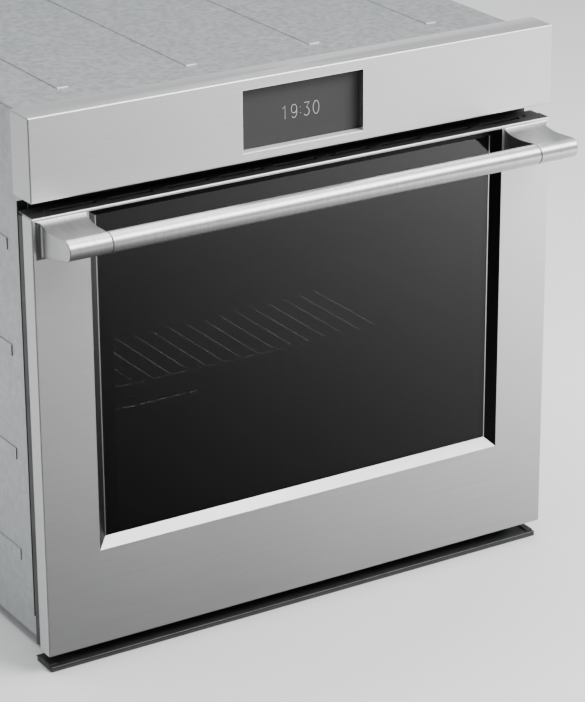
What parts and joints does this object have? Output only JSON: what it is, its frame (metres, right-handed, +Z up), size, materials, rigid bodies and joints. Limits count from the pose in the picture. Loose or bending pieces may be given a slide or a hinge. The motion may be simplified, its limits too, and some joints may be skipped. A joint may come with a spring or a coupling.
{
  "type": "wall oven",
  "caption": "Built-in single wall oven with a drop-down triple-glazed door, bar handle, recessed touch display, racks on slides, heating elements and fans.",
  "frame": {"origin": "centre of the bounding box in plan, on the plane the feet stand on", "axes": "+X to the right as one faces the oven, +Y to the back, +Z up; the front face of door and panel is the plane Y = -0.261 m"},
  "size_m": [0.756, 0.674, 0.728],
  "materials": {
    "brushed_steel": "brushed stainless steel, horizontal grain",
    "satin_steel": "satin stainless steel",
    "zinc_steel": "zinc-coated sheet steel",
    "chrome": "bright chromed wire and tube",
    "heater_sheath": "dark oxidised heater sheath",
    "cast_aluminium": "raw cast aluminium",
    "dark_enamel": "glossy dark vitreous enamel",
    "black_paint": "semi-gloss black paint",
    "black_plastic": "matte black plastic",
    "dark_glass": "black-printed tempered glass, dark tint over the window",
    "clear_glass": "clear tempered glass",
    "glass_fibre": "glass-fibre quilt",
    "braided_seal": "braided glass-fibre tube",
    "circuit_board": "green circuit board"
  },
  "bodies": {
    "oven": {"control_panel": "brushed_steel", "side_panel_left": "zinc_steel", "side_panel_right": "zinc_steel", "base_pan": "zinc_steel", "top_cover": "zinc_steel", "back_panel": "zinc_steel", "rear_cover": "zinc_steel", "convection_motor": "zinc_steel", "slide_rail_left": "zinc_steel", "slide_rail_right": "zinc_steel", "hinge_receiver_left": "zinc_steel", "hinge_receiver_right": "zinc_steel", "hinge_claw_left": "zinc_steel", "hinge_claw_right": "zinc_steel", "blower_housing": "zinc_steel", "air_duct": "zinc_steel", "rack_ladder_left": "chrome", "rack_ladder_right": "chrome", "temperature_sensor": "chrome", "convection_element": "heater_sheath", "broil_element": "heater_sheath", "bake_element": "heater_sheath", "conduit_gland": "cast_aluminium", "cavity_liner": "dark_enamel", "fan_cover": "dark_enamel", "mounting_flange_left": "black_paint", "mounting_flange_right": "black_paint", "front_frame": "black_paint", "lower_vent_trim": "black_paint", "blower_motor": "black_paint", "latch_motor": "black_plastic", "terminal_block": "black_plastic", "display_module": "black_plastic", "display_glass": "dark_glass", "oven_lamp_left": "clear_glass", "oven_lamp_right": "clear_glass", "insulation_blanket": "glass_fibre", "door_gasket": "braided_seal", "control_board": "circuit_board"},
    "door": {"door_skin": "brushed_steel", "outer_glass": "dark_glass", "middle_glass": "clear_glass", "inner_glass": "clear_glass", "door_liner": "black_paint", "door_top_cap": "black_plastic", "hinge_channel_left": "zinc_steel", "hinge_channel_right": "zinc_steel", "hinge_spring_left": "chrome", "hinge_spring_right": "chrome", "handle_bar": "satin_steel", "handle_bracket_left": "satin_steel", "handle_bracket_right": "satin_steel"},
    "slide_runners": {"slide_runner_left": "zinc_steel", "slide_runner_right": "zinc_steel"},
    "upper_rack": {"upper_rack": "chrome"},
    "lower_rack": {"lower_rack": "chrome"},
    "convection_fan": {"convection_fan": "cast_aluminium"},
    "blower_wheel": {"blower_wheel": "cast_aluminium"},
    "latch_hook": {"latch_hook": "zinc_steel"},
    "door_switch_plunger": {"door_switch_plunger": "black_plastic"}
  },
  "joints": [
    {"name": "door_hinge", "type": "hinge", "parent": "oven", "child": "door", "pos_m": [0, -0.239, 0.034], "axis": [1, 0, 0], "range_deg": [0, 90], "stiffness_Nm_per_rad": 25, "springref_deg": -8.59},
    {"name": "runner_slide", "type": "slide", "parent": "oven", "child": "slide_runners", "axis": [0, -1, 0], "range_m": [0, 0.15]},
    {"name": "upper_rack_slide", "type": "slide", "parent": "slide_runners", "child": "upper_rack", "axis": [0, -1, 0], "range_m": [0, 0.15]},
    {"name": "lower_rack_slide", "type": "slide", "parent": "oven", "child": "lower_rack", "axis": [0, -1, 0], "range_m": [0, 0.19]},
    {"name": "door_switch_slide", "type": "slide", "parent": "oven", "child": "door_switch_plunger", "axis": [0, -1, 0], "range_m": [0, 0.004]},
    {"name": "latch_turn", "type": "hinge", "parent": "oven", "child": "latch_hook", "pos_m": [0, -0.195, 0.585], "axis": [0, 0, 1], "range_deg": [-80, 0]},
    {"name": "convection_spin", "type": "hinge", "parent": "oven", "child": "convection_fan", "pos_m": [0, 0.259, 0.3], "axis": [0, 1, 0], "continuous": true},
    {"name": "blower_spin", "type": "hinge", "parent": "oven", "child": "blower_wheel", "pos_m": [0, 0.169, 0.629], "axis": [0, 0, 1], "continuous": true}
  ],
  "couplings": [
    {"joint": "runner_slide", "follows": "door_hinge", "m_per_rad": 0.0954},
    {"joint": "upper_rack_slide", "follows": "door_hinge", "m_per_rad": 0.0954},
    {"joint": "lower_rack_slide", "follows": "door_hinge", "m_per_rad": 0.1209},
    {"joint": "door_switch_slide", "follows": "door_hinge", "m_per_rad": 0.0025}
  ]
}
